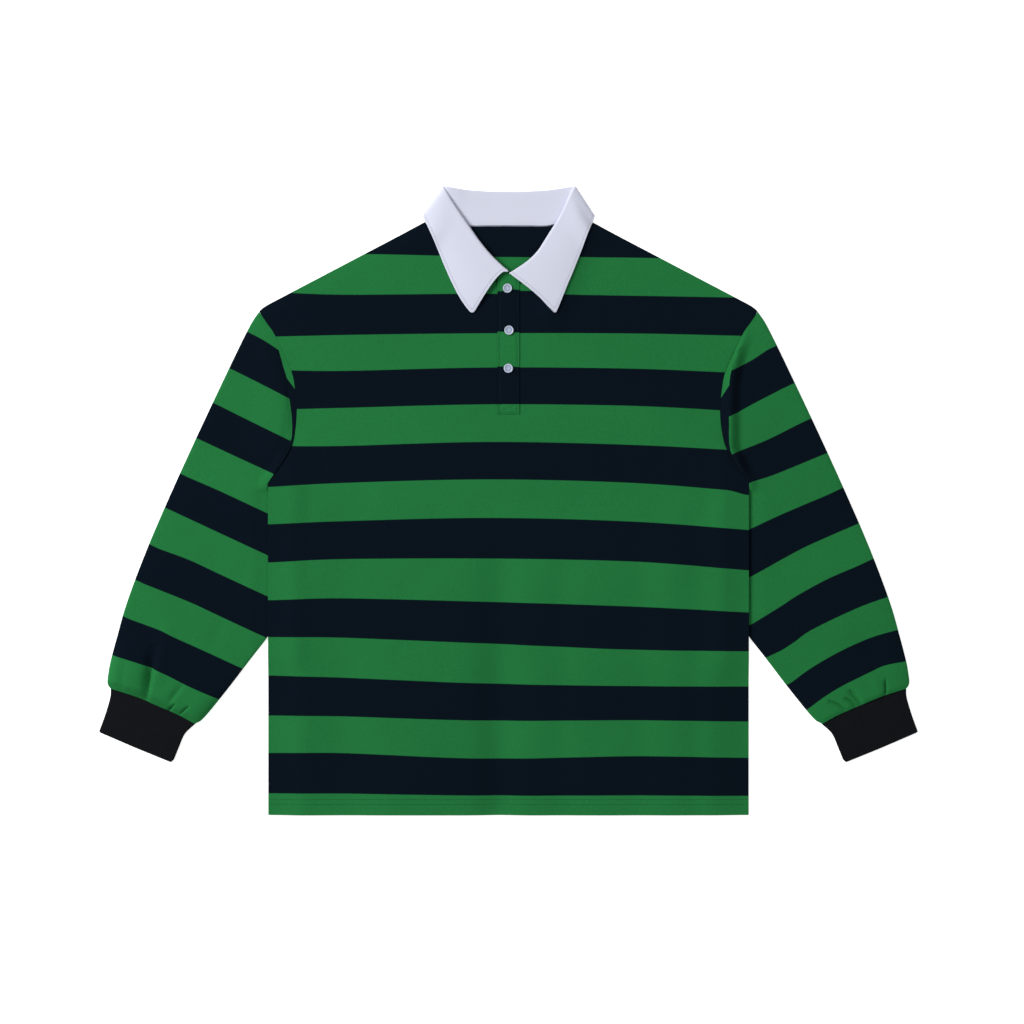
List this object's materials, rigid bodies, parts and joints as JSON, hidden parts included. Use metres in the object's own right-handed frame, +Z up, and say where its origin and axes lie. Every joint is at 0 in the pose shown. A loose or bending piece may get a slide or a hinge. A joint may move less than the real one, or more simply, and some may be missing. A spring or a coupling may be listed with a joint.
{
  "type": "polo shirt",
  "caption": "Long-sleeved striped polo shirt with a white turned-down collar, a buttoned placket and dark rib cuffs, laid out flat and face up.",
  "frame": {"origin": "centre of the laid-out shirt's box, on the surface that it lies on", "axes": "+X to the wearer's left across both sleeves, +Y from the hem to the collar, +Z up out of the front"},
  "size_m": [1.0226, 0.7854, 0.0109],
  "materials": {
    "striped_jersey": "heavy cotton jersey in wide horizontal stripes of green and near-black navy, matt with a faint nap",
    "rib_knit": "fine dark rib knit, matt",
    "collar_twill": "cool white cotton twill, matt, edge stitched",
    "button_resin": "pale blue-white resin with a soft shine"
  },
  "bodies": {
    "root": {"front_panel": "striped_jersey", "back_panel": "striped_jersey", "sleeve_left": "striped_jersey", "sleeve_right": "striped_jersey", "placket": "striped_jersey", "placket_under": "striped_jersey", "cuff_left": "rib_knit", "cuff_right": "rib_knit", "collar": "collar_twill", "button_1": "button_resin", "button_2": "button_resin", "button_3": "button_resin"}
  },
  "joints": []
}
